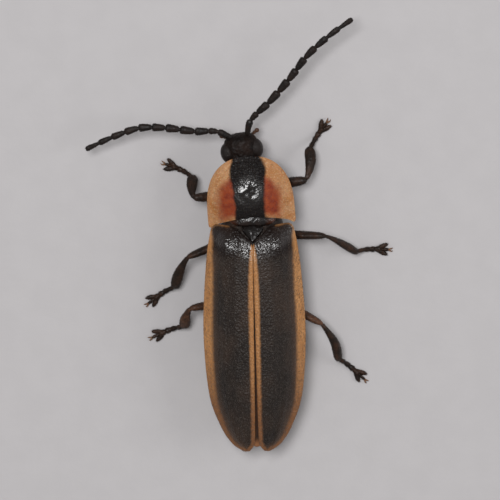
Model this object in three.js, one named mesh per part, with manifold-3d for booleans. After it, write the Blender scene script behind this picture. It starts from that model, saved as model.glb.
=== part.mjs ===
// A firefly: a small black beetle with soft, tan-edged wing covers, standing on six splayed legs.
// Millimetres. +Z is up, the head faces -Y and +X is the animal's left.
// The body is laid out from the middle of the wing covers' front edge, with the floor at z = 0.
import * as THREE from "three";
import { mergeVertices } from "three/addons/utils/BufferGeometryUtils.js";
import Module from "manifold-3d";

// Clearance between pieces that meet.
const GAP = 0.04;

// Wing covers.
const ELYTRON_LENGTH = 6.34;
const ELYTRON_HALF_WIDTH = 1.36;
const ELYTRON_THICKNESS = 0.45;
const ELYTRON_EDGE_THICKNESS = 0.3;
const SUTURE_HALF_GAP = 0.025;
const BORDER_START = 0.82;
const RIDGE_RELIEF = 0.025;
const SHOULDER = [0.72, 0.45];
const SHOULDER_RISE = 0.07;

// Neck shield.
const PRONOTUM_HALF_WIDTH = 1.16;
const PRONOTUM_LENGTH = 1.86;
const PRONOTUM_HIND_REACH = 0.38;
const PRONOTUM_CORNER_Y = 0.1;
const PRONOTUM_THICKNESS = 0.42;
const PRONOTUM_EDGE_THICKNESS = 0.26;
const PRONOTUM_CROWN = 0.46;
const PRONOTUM_SUMMIT_Y = -0.6;
const PRONOTUM_YAW = THREE.MathUtils.degToRad(3);

// Head and eyes.
const HEAD_CENTRE = new THREE.Vector3(0.24, -1.99, 0.96);
const HEAD_YAW = THREE.MathUtils.degToRad(8.5);
const HEAD_HALF_WIDTH = 0.45;
const HEAD_HALF_HEIGHT = 0.27;
const HEAD_FRONT = 0.39;
const HEAD_BACK = 0.6;
const EYE_RADII = new THREE.Vector3(0.21, 0.27, 0.24);
const EYE_SIDE = 0.37;
const EYE_BACK = 0.07;
const NECK_RADIUS = 0.22;
const NECK_PATH = [
  [0.2, -1.64, 0.93],
  [0.1, -1.3, 0.93],
];

// Plate between the neck shield and the wing covers.
const MESONOTUM_HALF_WIDTH = 0.64;

// Trunk under the wing covers.
const TRUNK_SIDE_HEIGHT = 0.98;
const PROTHORAX_SPAN = [-1.36, -0.03];
const MESOTHORAX_SPAN = [0.03, 0.62];
const METATHORAX_SPAN = [0.66, 2.4];
const SEGMENT_NAMES = [
  "abdomen_segment_1",
  "abdomen_segment_2",
  "abdomen_segment_3",
  "abdomen_segment_4",
  "lantern_front",
  "lantern_rear",
  "abdomen_segment_7",
  "abdomen_tip",
];
const SEGMENT_ENDS = [2.44, 2.94, 3.42, 3.9, 4.38, 4.9, 5.44, 5.82, 6.06];

// Feelers: eleven joints each.
const ANTENNA_JOINTS = [0.42, 0.24, 0.36, 0.39, 0.37, 0.35, 0.35, 0.38, 0.37, 0.38, 0.39];
const ANTENNA_RADII = [0.17, 0.16, 0.19, 0.2, 0.2, 0.2, 0.19, 0.19, 0.18, 0.17, 0.15];
const ANTENNA_LENGTHS = { base: [0, 2], middle: [2, 6], end: [6, 11] };
const ANTENNA_PATHS = {
  left: [
    [0.47, -2.27, 0.98],
    [0.88, -2.47, 1.02],
    [1.47, -2.49, 1.02],
    [2.24, -2.6, 1.02],
    [2.92, -2.6, 0.97],
    [3.65, -2.34, 0.88],
    [4.36, -1.99, 0.75],
  ],
  right: [
    [0.09, -2.34, 0.98],
    [-0.03, -2.77, 1.05],
    [-0.54, -3.28, 1.1],
    [-1.07, -3.9, 1.15],
    [-1.55, -4.53, 1.2],
    [-2.11, -5.04, 1.22],
    [-2.75, -5.5, 1.22],
  ],
};

// Legs: half-thicknesses, and for each leg where its joints and the middle of its shin are.
const COXA_RADIUS = 0.21;
const FEMUR_RADIUS = 0.24;
const TIBIA_RADIUS = 0.23;
const TARSUS_RADIUS = 0.16;
const LOBE_RADIUS = 0.1;
const LOBE_LENGTH = 0.3;
const LOBE_SPREAD = THREE.MathUtils.degToRad(28);
const CLAW_RADIUS = 0.08;
const CLAW_SPREAD = THREE.MathUtils.degToRad(32);
const TARSUS_HEIGHT = 0.12;
const TARSUS_JOINTS = [0.27, 0.19, 0.15, 0.17, 0.22];
const TARSUS_SWELL = [0.9, 0.95, 1.05, 1.1, 0.7];
const LEGS = {
  leg_front_left: {
    root: [0.18, -0.86, 0.86],
    hip: [0.33, -0.62, 0.42],
    knee: [1.54, -0.66, 1.0],
    shin: [1.58, -0.88],
    ankle: [1.54, -1.1, 0.36],
    toe: [2.29, -1.36],
  },
  leg_middle_left: {
    root: [0.28, 0.36, 0.85],
    hip: [0.42, 0.58, 0.4],
    knee: [1.75, 0.99, 0.95],
    shin: [1.97, 1.48],
    ankle: [2.11, 2.02, 0.32],
    toe: [2.84, 2.51],
  },
  leg_hind_left: {
    root: [0.34, 2.02, 0.85],
    hip: [0.46, 2.32, 0.4],
    knee: [1.72, 2.42, 0.92],
    shin: [1.84, 2.78],
    ankle: [1.87, 3.12, 0.32],
    toe: [2.76, 3.46],
  },
  leg_front_right: {
    root: [-0.18, -1.0, 0.86],
    hip: [-0.33, -0.8, 0.42],
    knee: [-1.47, -1.03, 0.8],
    shin: [-1.58, -1.45],
    ankle: [-1.56, -1.81, 0.34],
    toe: [-2.05, -2.41],
  },
  leg_middle_right: {
    root: [-0.28, 0.3, 0.85],
    hip: [-0.42, 0.52, 0.4],
    knee: [-1.96, 0.49, 0.92],
    shin: [-2.38, 0.79],
    ankle: [-2.79, 1.14, 0.32],
    toe: [-3.64, 1.15],
  },
  leg_hind_right: {
    root: [-0.34, 1.98, 0.85],
    hip: [-0.46, 2.26, 0.4],
    knee: [-1.82, 2.97, 0.8],
    shin: [-2.14, 3.57],
    ankle: [-2.24, 4.14, 0.32],
    toe: [-2.94, 4.78],
  },
};

const COLOURS = {
  black_shell: [0x211c1a, 0.5],
  tan_shell: [0xb08350, 0.45],
  leg_brown: [0x33261d, 0.55],
  eye_black: [0x0d0c0c, 0.2],
  belly_brown: [0x3a2a20, 0.5],
  lantern_cream: [0xd8cc94, 0.4],
};

const wasm = await Module();
wasm.setup();

const vector = (point) => new THREE.Vector3(...point);

// A smooth curve through [x, y] points, read as y at x.
function profile(...points) {
  const slope = points.map((_, i) => {
    const before = points[Math.max(i - 1, 0)];
    const after = points[Math.min(i + 1, points.length - 1)];
    return (after[1] - before[1]) / (after[0] - before[0]);
  });
  return (x) => {
    const last = points.length - 2;
    const found = points.findIndex((p, i) => i <= last && x < points[i + 1][0]);
    const i = found < 0 ? last : found;
    const [x0, y0] = points[i];
    const [x1, y1] = points[i + 1];
    const span = x1 - x0;
    const t = THREE.MathUtils.clamp((x - x0) / span, 0, 1);
    const bend = t * (1 - t) * span * (slope[i] * (1 - t) - slope[i + 1] * t);
    return y0 + (y1 - y0) * t * t * (3 - 2 * t) + bend;
  };
}

// A closed skin of rings between two poles. place(row, angle) gives each point.
function skin(around, rows, place) {
  const geometry = new THREE.SphereGeometry(1, around, rows);
  const { position, uv } = geometry.attributes;
  for (let i = 0; i < position.count; i++) {
    const row = Math.round((1 - uv.getY(i)) * rows);
    const column = Math.round(uv.getX(i) * around) % around;
    const point = place(row, (column / around) * 2 * Math.PI);
    position.setXYZ(i, point.x, point.y, point.z);
  }
  return solid(geometry);
}

// A geometry as a solid with its faces pointing out.
function solid(geometry) {
  geometry.deleteAttribute("normal");
  geometry.deleteAttribute("uv");
  const merged = mergeVertices(geometry);
  const make = (triVerts) =>
    new wasm.Manifold(
      new wasm.Mesh({ numProp: 3, vertProperties: merged.attributes.position.array, triVerts }),
    );
  const triVerts = new Uint32Array(merged.index.array);
  const made = make(triVerts);
  return made.volume() > 0 ? made : make(triVerts.reverse());
}

// Joins closed pieces and keeps the largest body.
function join(pieces) {
  const bodies = pieces.reduce((all, piece) => all.add(piece)).decompose();
  return bodies.reduce((best, body) => (body.volume() > best.volume() ? body : best));
}

// Cuts a piece clear of others and keeps the largest body.
const cut = (piece, others) => join([others.reduce((left, other) => left.subtract(other), piece)]);

const signedPower = (value, power) => Math.sign(value) * Math.abs(value) ** power;

// Full in the middle and rounded off at both ends of 0 to 1.
const blunt = (t, power) => Math.sqrt(Math.max(0, 1 - Math.abs(2 * t - 1) ** power));

// A flattened, round-ended limb along a curve.
function limb(points, halfWidth, { thin = 1, grow = 0, around = 8, rows = 8, end = 5 } = {}) {
  const curve = new THREE.CatmullRomCurve3(points.map(vector));
  return skin(around, rows, (row, angle) => {
    const t = (1 - Math.cos((Math.PI * row) / rows)) / 2;
    const tangent = curve.getTangent(t);
    const side = new THREE.Vector3(0, 0, 1).cross(tangent).normalize();
    const lift = tangent.clone().cross(side);
    const roundness = blunt(t, end);
    return curve
      .getPoint(t)
      .addScaledVector(tangent, (2 * t - 1) * grow)
      .addScaledVector(side, (halfWidth(t) + grow) * roundness * Math.cos(angle))
      .addScaledVector(lift, (halfWidth(t) * thin + grow) * roundness * Math.sin(angle));
  });
}

// A string of joints along a curve, each narrow at its root and widest past its middle.
function chain(curve, start, lengths, radii, { thin = 1, around = 8, swell = radii.map(() => 1) } = {}) {
  const shape = [
    [0.04, 0.6],
    [0.3, 0.92],
    [0.75, 1],
    [0.98, 0.66],
  ];
  const total = curve.getLength();
  const stations = [];
  let from = start;
  lengths.forEach((length, i) => {
    shape.forEach(([share, size]) => {
      stations.push([from + share * length, radii[i] * size, swell[i]]);
    });
    from += length;
  });
  const first = stations[0];
  const last = stations[stations.length - 1];
  stations.unshift([first[0], 0, 1]);
  stations.push([last[0], 0, 1]);
  return skin(around, stations.length - 1, (row, angle) => {
    const [distance, radius, wide] = stations[row];
    const u = THREE.MathUtils.clamp(distance / total, 0, 1);
    const tangent = curve.getTangentAt(u);
    const side = new THREE.Vector3(0, 0, 1).cross(tangent).normalize();
    const lift = tangent.clone().cross(side);
    return curve
      .getPointAt(u)
      .addScaledVector(side, radius * wide * Math.cos(angle))
      .addScaledVector(lift, radius * thin * Math.sin(angle));
  });
}

// The wing covers' upper surface, over both sides.
const ridgeHeight = profile(
  [-0.1, 1.6],
  [0.5, 1.88],
  [1.5, 2.0],
  [3.2, 1.97],
  [4.8, 1.8],
  [5.8, 1.58],
  [6.4, 1.34],
);
const edgeHeight = profile([0, 1.38], [1.5, 1.34], [4, 1.3], [6.4, 1.18]);
const outerWidth = profile(
  [0, 0.98],
  [0.3, 1.14],
  [1.3, 1.27],
  [3, ELYTRON_HALF_WIDTH],
  [4.7, 1.25],
  [5.62, 0.97],
  [6.13, 0.7],
  [6.4, 0.62],
);

function crown(x, y) {
  const share = Math.min(Math.abs(x) / outerWidth(y), 1);
  const disc = 0.74 * Math.min(share / BORDER_START, 1) ** 2.4;
  const border = (0.26 * Math.max(share - BORDER_START, 0)) / (1 - BORDER_START);
  const shoulder = Math.exp(-(((Math.abs(x) - SHOULDER[0]) / 0.32) ** 2) - ((y - SHOULDER[1]) / 0.4) ** 2);
  return ridgeHeight(y) - (ridgeHeight(y) - edgeHeight(y)) * (disc + border) + SHOULDER_RISE * shoulder;
}

const coverThickness = (x, y) =>
  THREE.MathUtils.lerp(ELYTRON_THICKNESS, ELYTRON_EDGE_THICKNESS, Math.min(Math.abs(x) / outerWidth(y), 1) ** 3);

// Raised edge along the suture and two faint ribs along the disc.
function ribs(share) {
  const bump = (centre, width) => Math.exp(-(((share - centre) / width) ** 2));
  return RIDGE_RELIEF * (bump(0.04, 0.05) + bump(0.36, 0.05) + bump(0.62, 0.05));
}

function elytron(side) {
  const outer = [
    [0.62, -0.02],
    [1.01, 0.0],
    [1.14, 0.3],
    [1.27, 1.3],
    [ELYTRON_HALF_WIDTH, 3.0],
    [1.25, 4.7],
    [0.97, 5.62],
    [0.67, 6.13],
    [0.34, ELYTRON_LENGTH],
  ];
  const inner = [
    [0.42, 0.04],
    [0.25, 0.2],
    [0.07, 0.42],
    [SUTURE_HALF_GAP, 1.0],
    [SUTURE_HALF_GAP, 3.0],
    [0.032, 4.8],
    [0.045, 5.65],
    [0.08, 6.1],
    [0.2, ELYTRON_LENGTH - 0.02],
  ];
  const outerCurve = new THREE.SplineCurve(outer.map((p) => new THREE.Vector2(...p)));
  const innerCurve = new THREE.SplineCurve(inner.map((p) => new THREE.Vector2(...p)));
  const rows = 26;
  return skin(26, rows, (row, angle) => {
    const t = THREE.MathUtils.clamp((row - 1) / (rows - 2), 0, 1);
    const pole = row === 0 || row === rows;
    const share = pole ? 0.5 : (1 - Math.cos(angle)) / 2;
    const plan = innerCurve.getPoint(t).lerp(outerCurve.getPoint(t), share);
    const thickness = coverThickness(plan.x, plan.y) * (0.7 + 0.3 * blunt(t, 16));
    const offset = pole ? 0 : 0.5 * signedPower(Math.sin(angle), 0.5);
    const rise = offset > 0 ? ribs(share) * blunt(t, 8) : 0;
    const z = crown(plan.x, plan.y) - coverThickness(plan.x, plan.y) / 2 + thickness * offset + rise;
    return new THREE.Vector3(side * plan.x, plan.y, z);
  });
}

// The neck shield, in its own frame: the origin is the middle of its hind edge at floor level.
const pronotumRise = profile([-PRONOTUM_LENGTH, 0], [-1.4, 0.56], [-1, 0.88], [PRONOTUM_SUMMIT_Y, 1], [0.1, 0.76]);
const pronotumRim = profile([-PRONOTUM_LENGTH, 1.38], [-0.9, 1.32], [0.1, 1.26]);

function pronotumCrown(x, y) {
  const share = Math.min(Math.abs(x) / PRONOTUM_HALF_WIDTH, 1);
  return pronotumRim(y) + PRONOTUM_CROWN * pronotumRise(y) * (1 - share * share) ** 1.6;
}

// How far the hind edge bends in between its corners, by the distance from the midline.
const hindBay = profile(
  [0, 0.39],
  [0.45, 0.32],
  [0.85, 0.2],
  [1, 0.12],
  [1.1, 0.02],
  [PRONOTUM_HALF_WIDTH, 0],
);

function pronotumThickness(reach) {
  return THREE.MathUtils.lerp(PRONOTUM_THICKNESS, PRONOTUM_EDGE_THICKNESS, reach ** 2);
}

function pronotum(grow) {
  const widestY = PRONOTUM_CORNER_Y - PRONOTUM_HIND_REACH;
  const rows = 18;
  return skin(36, rows, (row, angle) => {
    const turn = row / rows;
    const reach = Math.sin(Math.PI * turn) ** 0.8;
    const front = Math.sin(angle) < 0;
    const fullness = front ? 2.6 : 9;
    const along = (1 - Math.abs(Math.cos(angle)) ** fullness) ** (1 / fullness);
    const x = (PRONOTUM_HALF_WIDTH + grow) * Math.cos(angle) * reach;
    const straight = front
      ? widestY - (PRONOTUM_LENGTH + widestY + grow) * along * reach
      : widestY + (PRONOTUM_HIND_REACH + grow) * along * reach;
    const hindPart = THREE.MathUtils.clamp(1 + (straight - PRONOTUM_CORNER_Y) / 0.9, 0, 1);
    const y = straight - hindBay(Math.abs(x)) * hindPart ** 2;
    const half = pronotumThickness(reach) / 2;
    const offset = signedPower(Math.cos(Math.PI * turn), 0.6) * (half + grow);
    return new THREE.Vector3(x, y, pronotumCrown(x, y) - half + offset);
  }).rotate([0, 0, THREE.MathUtils.radToDeg(PRONOTUM_YAW)]);
}

// A length of trunk between two stations, flat at both ends.
function trunkSlice(from, to, rings, section, around = 24) {
  return skin(around, rings + 1, (row, angle) => {
    const pole = row === 0 || row === rings + 1;
    const share = THREE.MathUtils.clamp((row - 1) / (rings - 1), 0, 1);
    const y = THREE.MathUtils.lerp(from, to, share);
    return pole ? new THREE.Vector3(0, y, TRUNK_SIDE_HEIGHT) : section(y, angle, share);
  });
}

const trunkWidth = profile([0, 0.84], [0.8, 1.02], [2, 1.06], [3.5, 1.07], [4.7, 0.96], [5.5, 0.74], [6.1, 0.4]);
const trunkBottom = profile([0, 0.66], [1, 0.6], [3, 0.6], [4.7, 0.66], [5.5, 0.74], [6.1, 0.84]);

// One ring of the trunk under the wing covers, swelling a little to its hind end.
function trunkSection(y, angle, share) {
  const size = 0.97 + 0.03 * share;
  const x = trunkWidth(y) * size * Math.cos(angle);
  const sine = Math.sin(angle);
  const top = crown(x, y) - coverThickness(x, y) - GAP;
  const z =
    sine > 0
      ? TRUNK_SIDE_HEIGHT + (top - TRUNK_SIDE_HEIGHT) * sine ** 0.7
      : TRUNK_SIDE_HEIGHT - (TRUNK_SIDE_HEIGHT - trunkBottom(y)) * size * (-sine) ** 0.85;
  return new THREE.Vector3(x, y, z);
}

const prothoraxWidth = profile([-1.4, 0.42], [-1, 0.6], [-0.4, 0.72], [0, 0.76]);

function prothoraxSection(y, angle) {
  const x = prothoraxWidth(y) * Math.cos(angle);
  const sine = Math.sin(angle);
  const top = pronotumCrown(x, y) - PRONOTUM_THICKNESS - GAP;
  const z =
    sine > 0
      ? TRUNK_SIDE_HEIGHT + Math.max(top - TRUNK_SIDE_HEIGHT, 0.02) * sine ** 0.7
      : TRUNK_SIDE_HEIGHT - (TRUNK_SIDE_HEIGHT - 0.64) * (-sine) ** 0.85;
  return new THREE.Vector3(x, y, z);
}

// The small plate between the roots of the wing covers.
function scutellum() {
  const halfWidth = profile([-0.05, 0.26], [0.05, 0.27], [0.19, 0.16], [0.3, 0.07], [0.42, 0.015]);
  const rows = 8;
  return skin(12, rows, (row, angle) => {
    const turn = row / rows;
    const reach = Math.sin(Math.PI * turn);
    const y = 0.18 - 0.22 * Math.cos(angle) * reach;
    const x = halfWidth(y) * signedPower(Math.sin(angle), 0.9) * reach;
    const middle = ridgeHeight(y) - (ELYTRON_THICKNESS + GAP) / 2;
    const half = ELYTRON_THICKNESS / 2 - GAP;
    return new THREE.Vector3(x, y, middle + half * signedPower(Math.cos(Math.PI * turn), 0.7));
  });
}

// The broad plate between the neck shield and the wing covers.
function mesonotum() {
  const rows = 8;
  return skin(20, rows, (row, angle) => {
    const turn = row / rows;
    const reach = Math.sin(Math.PI * turn) ** 0.7;
    const x = MESONOTUM_HALF_WIDTH * signedPower(Math.sin(angle), 0.6) * reach;
    const y = -0.23 - 0.2 * signedPower(Math.cos(angle), 0.7) * reach;
    const z = 1.4 - 0.25 * x * x + 0.2 * y + 0.17 * signedPower(Math.cos(Math.PI * turn), 0.6);
    return new THREE.Vector3(x, y, z);
  });
}

// Head pieces are built round the head's own centre, facing -Y.
const inHead = (piece) =>
  piece.rotate([0, 0, THREE.MathUtils.radToDeg(HEAD_YAW)]).translate(HEAD_CENTRE.toArray());

function headCapsule(grow) {
  const rows = 12;
  return skin(16, rows, (row, angle) => {
    const t = (1 - Math.cos((Math.PI * row) / rows)) / 2;
    const y = THREE.MathUtils.lerp(-HEAD_FRONT - grow, HEAD_BACK + grow, t);
    const width = HEAD_HALF_WIDTH * profile([-HEAD_FRONT, 0.92], [0, 1], [HEAD_BACK, 0.68])(y);
    const reach = blunt(t, 6);
    const droop = 0.22 * Math.max(-y, 0);
    return new THREE.Vector3(
      (width + grow) * reach * signedPower(Math.cos(angle), 0.9),
      y,
      (HEAD_HALF_HEIGHT + grow) * reach * Math.sin(angle) - droop,
    );
  });
}

function eye(side, grow) {
  const rows = 9;
  return skin(14, rows, (row, angle) => {
    const tilt = (Math.PI * row) / rows;
    return new THREE.Vector3(
      side * (EYE_SIDE + (EYE_RADII.x + grow) * Math.cos(tilt)),
      EYE_BACK + (EYE_RADII.y + grow) * Math.sin(tilt) * Math.cos(angle),
      -0.01 + (EYE_RADII.z + grow) * Math.sin(tilt) * Math.sin(angle),
    );
  });
}

function mandible(side) {
  const path = [
    [side * 0.13, -0.2, -0.26],
    [side * 0.14, -0.36, -0.38],
    [side * 0.04, -0.4, -0.44],
  ];
  return limb(path, (t) => 0.09 - 0.04 * t, { around: 6, rows: 6 });
}

function palp(side) {
  const path = [
    [side * 0.24, -0.19, -0.24],
    [side * 0.4, -0.29, -0.31],
    [side * 0.53, -0.35, -0.34],
  ];
  return limb(path, (t) => 0.08 + 0.04 * Math.sin(Math.PI * t), { around: 6, rows: 7 });
}

function antennaPieces(side) {
  const curve = new THREE.CatmullRomCurve3(ANTENNA_PATHS[side].map(vector));
  const scale = curve.getLength() / ANTENNA_JOINTS.reduce((a, b) => a + b);
  const lengths = ANTENNA_JOINTS.map((length) => length * scale);
  return Object.entries(ANTENNA_LENGTHS).map(([place, [first, end]]) => {
    const start = lengths.slice(0, first).reduce((a, b) => a + b, 0);
    const piece = chain(curve, start + GAP / 2, lengths.slice(first, end), ANTENNA_RADII.slice(first, end));
    return [`antenna_${side}_${place}`, piece];
  });
}

function coxa({ root, hip }, grow) {
  const halfWidth = (t) => COXA_RADIUS * (1 - 0.25 * t);
  return limb([root, hip], halfWidth, { grow, rows: 7 });
}

function femur({ hip, knee }, grow) {
  const middle = vector(hip).lerp(vector(knee), 0.5);
  middle.z += 0.04;
  const halfWidth = (t) => FEMUR_RADIUS * (0.8 + 0.2 * Math.sin(Math.PI * Math.min(t * 1.2, 1)));
  return limb([hip, middle.toArray(), knee], halfWidth, { grow, thin: 0.85, rows: 8 });
}

function tibia({ knee, shin, ankle }, grow) {
  const height = (knee[2] + ankle[2]) / 2 + 0.03;
  const halfWidth = (t) => TIBIA_RADIUS * (0.7 + 0.3 * Math.sin(Math.PI * Math.min(0.15 + 0.6 * t, 1)));
  return limb([knee, [...shin, height], ankle], halfWidth, { grow, thin: 0.85, rows: 8 });
}

const floorBlock = solid(new THREE.BoxGeometry(30, 30, 4).translate(0, 0, -2));

// Five foot joints, the fourth with a lobe on each side, and two claws.
function tarsus({ ankle, toe }) {
  const start = vector(ankle);
  const tip = new THREE.Vector3(toe[0], toe[1], TARSUS_HEIGHT);
  const bend = start.clone().lerp(tip, 0.4).setZ(TARSUS_HEIGHT + 0.02);
  const curve = new THREE.CatmullRomCurve3([start, bend, tip]);
  const length = curve.getLength();
  const lengths = TARSUS_JOINTS.map((share) => share * length);
  const radii = TARSUS_JOINTS.map(() => TARSUS_RADIUS);
  const foot = chain(curve, 0, lengths, radii, { swell: TARSUS_SWELL });
  const ahead = curve.getTangentAt(1).setZ(0).normalize();
  const turned = (angle) => ahead.clone().applyAxisAngle(new THREE.Vector3(0, 0, 1), angle);
  const lobeRoot = curve.getPointAt(0.64);
  const lobes = [-1, 1].map((side) => {
    const lobeEnd = lobeRoot.clone().addScaledVector(turned(side * LOBE_SPREAD), LOBE_LENGTH).setZ(LOBE_RADIUS);
    return limb([lobeRoot.toArray(), lobeEnd.toArray()], () => LOBE_RADIUS, { around: 6, rows: 5 });
  });
  const claws = [-1, 1].map((side) => {
    const out = tip.clone().addScaledVector(turned(side * CLAW_SPREAD), 0.12);
    const point = out.clone().addScaledVector(ahead, 0.07).setZ(0.05);
    const path = [tip.toArray(), out.toArray(), point.toArray()];
    return limb(path, (t) => CLAW_RADIUS * (1 - 0.6 * t), { around: 6, rows: 5 });
  });
  return cut(join([foot, ...lobes, ...claws]), [floorBlock]);
}

// A solid as a named mesh, with its geometry round its own middle.
function mesh(name, shape, colour) {
  const { numProp, vertProperties, triVerts } = shape.getMesh();
  const buffer = new THREE.InterleavedBuffer(vertProperties, numProp);
  const geometry = new THREE.BufferGeometry();
  geometry.setAttribute("position", new THREE.InterleavedBufferAttribute(buffer, 3, 0));
  geometry.setIndex(new THREE.BufferAttribute(triVerts, 1));
  geometry.computeBoundingBox();
  const middle = geometry.boundingBox.getCenter(new THREE.Vector3());
  geometry.translate(...middle.clone().negate().toArray());
  const [color, roughness] = COLOURS[colour];
  const made = new THREE.Mesh(geometry, new THREE.MeshStandardMaterial({ color, roughness, metalness: 0 }));
  made.name = name;
  made.position.copy(middle);
  return made;
}

function group(...meshes) {
  const made = new THREE.Group();
  made.add(...meshes.flat());
  return made;
}

function headGroup(shield, chest) {
  const sides = { left: 1, right: -1 };
  const eyesGrown = Object.values(sides).map((side) => inHead(eye(side, GAP)));
  const antennae = Object.keys(sides).flatMap(antennaPieces);
  const antennaRoots = ["left", "right"].map((side) => {
    const curve = new THREE.CatmullRomCurve3(ANTENNA_PATHS[side].map(vector));
    const scale = curve.getLength() / ANTENNA_JOINTS.reduce((a, b) => a + b);
    return chain(curve, GAP / 2, [ANTENNA_JOINTS[0] * scale], [ANTENNA_RADII[0] + GAP]);
  });
  const capsule = cut(inHead(headCapsule(0)), [shield, chest, ...eyesGrown, ...antennaRoots]);
  const neck = limb(NECK_PATH, () => NECK_RADIUS, { around: 12, rows: 8, end: 12 });
  const clearNeck = cut(neck, [shield, inHead(headCapsule(GAP)), chest.translate([0, -GAP, 0])]);
  const parts = [mesh("head", capsule, "black_shell"), mesh("neck", clearNeck, "belly_brown")];
  for (const [name, side] of Object.entries(sides)) {
    const solidEye = cut(inHead(eye(side, 0)), [shield]);
    parts.push(mesh(`eye_${name}`, solidEye, "eye_black"));
    parts.push(mesh(`mandible_${name}`, cut(inHead(mandible(side)), [capsule]), "leg_brown"));
    parts.push(mesh(`palp_${name}`, cut(inHead(palp(side)), [capsule]), "leg_brown"));
  }
  for (const [name, piece] of antennae) parts.push(mesh(name, piece, "leg_brown"));
  return group(parts);
}

function legGroup(name, joints) {
  const hip = coxa(joints, 0);
  const thigh = cut(femur(joints, 0), [coxa(joints, GAP)]);
  const shin = cut(tibia(joints, 0), [femur(joints, GAP)]);
  const foot = cut(tarsus(joints), [tibia(joints, GAP)]);
  return group(
    mesh(`${name}_coxa`, hip, "leg_brown"),
    mesh(`${name}_femur`, thigh, "leg_brown"),
    mesh(`${name}_tibia`, shin, "leg_brown"),
    mesh(`${name}_tarsus`, foot, "leg_brown"),
  );
}

function trunkGroup(chest) {
  const legs = Object.values(LEGS);
  const clearance = legs.flatMap((joints) => [coxa(joints, GAP), femur(joints, GAP)]);
  const parts = [mesh("prothorax", cut(chest, clearance), "black_shell")];
  const middle = trunkSlice(...MESOTHORAX_SPAN, 3, trunkSection);
  const hind = trunkSlice(...METATHORAX_SPAN, 4, trunkSection);
  parts.push(mesh("mesothorax", cut(middle, clearance), "black_shell"));
  parts.push(mesh("metathorax", cut(hind, clearance), "black_shell"));
  SEGMENT_NAMES.forEach((name, i) => {
    const from = SEGMENT_ENDS[i];
    const piece = trunkSlice(from, SEGMENT_ENDS[i + 1] - GAP, 3, trunkSection, 20);
    const colour = name.startsWith("lantern") ? "lantern_cream" : "belly_brown";
    parts.push(mesh(name, cut(piece, clearance), colour));
  });
  return group(parts);
}

const chest = trunkSlice(...PROTHORAX_SPAN, 5, prothoraxSection).rotate([
  0,
  0,
  THREE.MathUtils.radToDeg(PRONOTUM_YAW),
]);

const firefly = group(
  headGroup(pronotum(GAP), chest),
  mesh("pronotum", pronotum(0), "tan_shell"),
  mesh("scutellum", scutellum(), "black_shell"),
  mesh("mesonotum", cut(mesonotum(), [pronotum(GAP), chest.translate([0, 0, GAP])]), "black_shell"),
  mesh("elytron_left", cut(elytron(1), [pronotum(GAP)]), "black_shell"),
  mesh("elytron_right", cut(elytron(-1), [pronotum(GAP)]), "black_shell"),
  trunkGroup(chest),
  Object.entries(LEGS).map(([name, joints]) => legGroup(name, joints)),
);

// The origin is the middle of the whole outline, on the floor.
const outline = new THREE.Box3().setFromObject(firefly);
const centre = outline.getCenter(new THREE.Vector3());
firefly.position.set(-centre.x, -centre.y, -outline.min.z);

export default firefly;
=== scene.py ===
import math

import bmesh
import bpy
import numpy as np
from mathutils import Matrix, Vector


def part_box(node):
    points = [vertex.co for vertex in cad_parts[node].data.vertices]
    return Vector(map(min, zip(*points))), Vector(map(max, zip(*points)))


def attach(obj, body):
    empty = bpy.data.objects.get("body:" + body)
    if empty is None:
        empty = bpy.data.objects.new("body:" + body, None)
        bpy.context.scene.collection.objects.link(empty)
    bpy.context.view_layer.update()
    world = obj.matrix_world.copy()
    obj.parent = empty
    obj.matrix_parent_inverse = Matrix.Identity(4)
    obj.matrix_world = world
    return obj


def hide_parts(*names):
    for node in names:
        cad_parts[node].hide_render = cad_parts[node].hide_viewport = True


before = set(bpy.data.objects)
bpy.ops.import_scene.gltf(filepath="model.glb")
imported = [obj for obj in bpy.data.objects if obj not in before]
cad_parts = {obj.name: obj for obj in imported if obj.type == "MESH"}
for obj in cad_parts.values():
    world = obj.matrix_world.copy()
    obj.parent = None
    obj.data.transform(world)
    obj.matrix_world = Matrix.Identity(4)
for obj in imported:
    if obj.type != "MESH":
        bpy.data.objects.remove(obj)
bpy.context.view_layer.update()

# The frame, camera, lights and floor are in metres. The animal is laid out in millimetres from
# the middle of its wing covers' front edge, on the floor, with the head towards -Y and its
# left side towards +X.
MM = 0.001
SIDES = (("left", 1), ("right", -1))
MESOTHORAX_FRONT = 0.03 * MM


def body_origin():
    """The middle of the wing covers' front edge, on the floor, in the frame."""
    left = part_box("elytron_left")
    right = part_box("elytron_right")
    chest_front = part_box("mesothorax")[0].y
    return np.array([(left[0].x + right[1].x) / 2, chest_front - MESOTHORAX_FRONT, 0.0])


ORIGIN = body_origin()

# Camera: it looks down from the head side, with the head at the top of the picture.
CAMERA_DISTANCE = 0.16
CAMERA_LEAN = math.radians(16)
CAMERA_ROLL = math.radians(1.28)
CAMERA_TARGET = np.array([0.073, 1.096, 0.0]) * MM
PICTURE_WIDTH = 13.37 * MM
SENSOR_WIDTH = 36.0

# Lights: place, size and power. The floor reaches far past the picture.
KEY_LIGHT = ((0.026, -0.068, 0.185), 0.055, 0.22)
SIDE_LIGHT = ((-0.11, -0.02, 0.08), 0.06, 0.035)
WORLD_WHITE = (1.0, 0.985, 0.97, 1)
WORLD_STRENGTH = 0.26
FLOOR_REACH = 0.4

# Wing covers.
ELYTRON_LENGTH = 6.34
ELYTRON_HALF_WIDTH = 1.36
ELYTRON_THICKNESS = 0.1
BORDER_START = 0.82
RIDGE_RELIEF = 0.025
SHOULDER = (0.76, 0.5)
SHOULDER_HALF_SIZE = (0.3, 0.4)
SHOULDER_RISE = 0.15
RIB_SHARES = (0.04, 0.36, 0.62)
# Where the front share begins: towards the front the shell colour is darkened as painted shade and its
# specular is lowered.
FRONT_SHADE_START = 0.95
GLINT_START = 0.62
GLINT_SLANT = 0.38
GLINT_HALF_WIDTH = 0.2
HIND_WING_FRONT = 0.5
HIND_WING_LENGTH = 5.7

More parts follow.
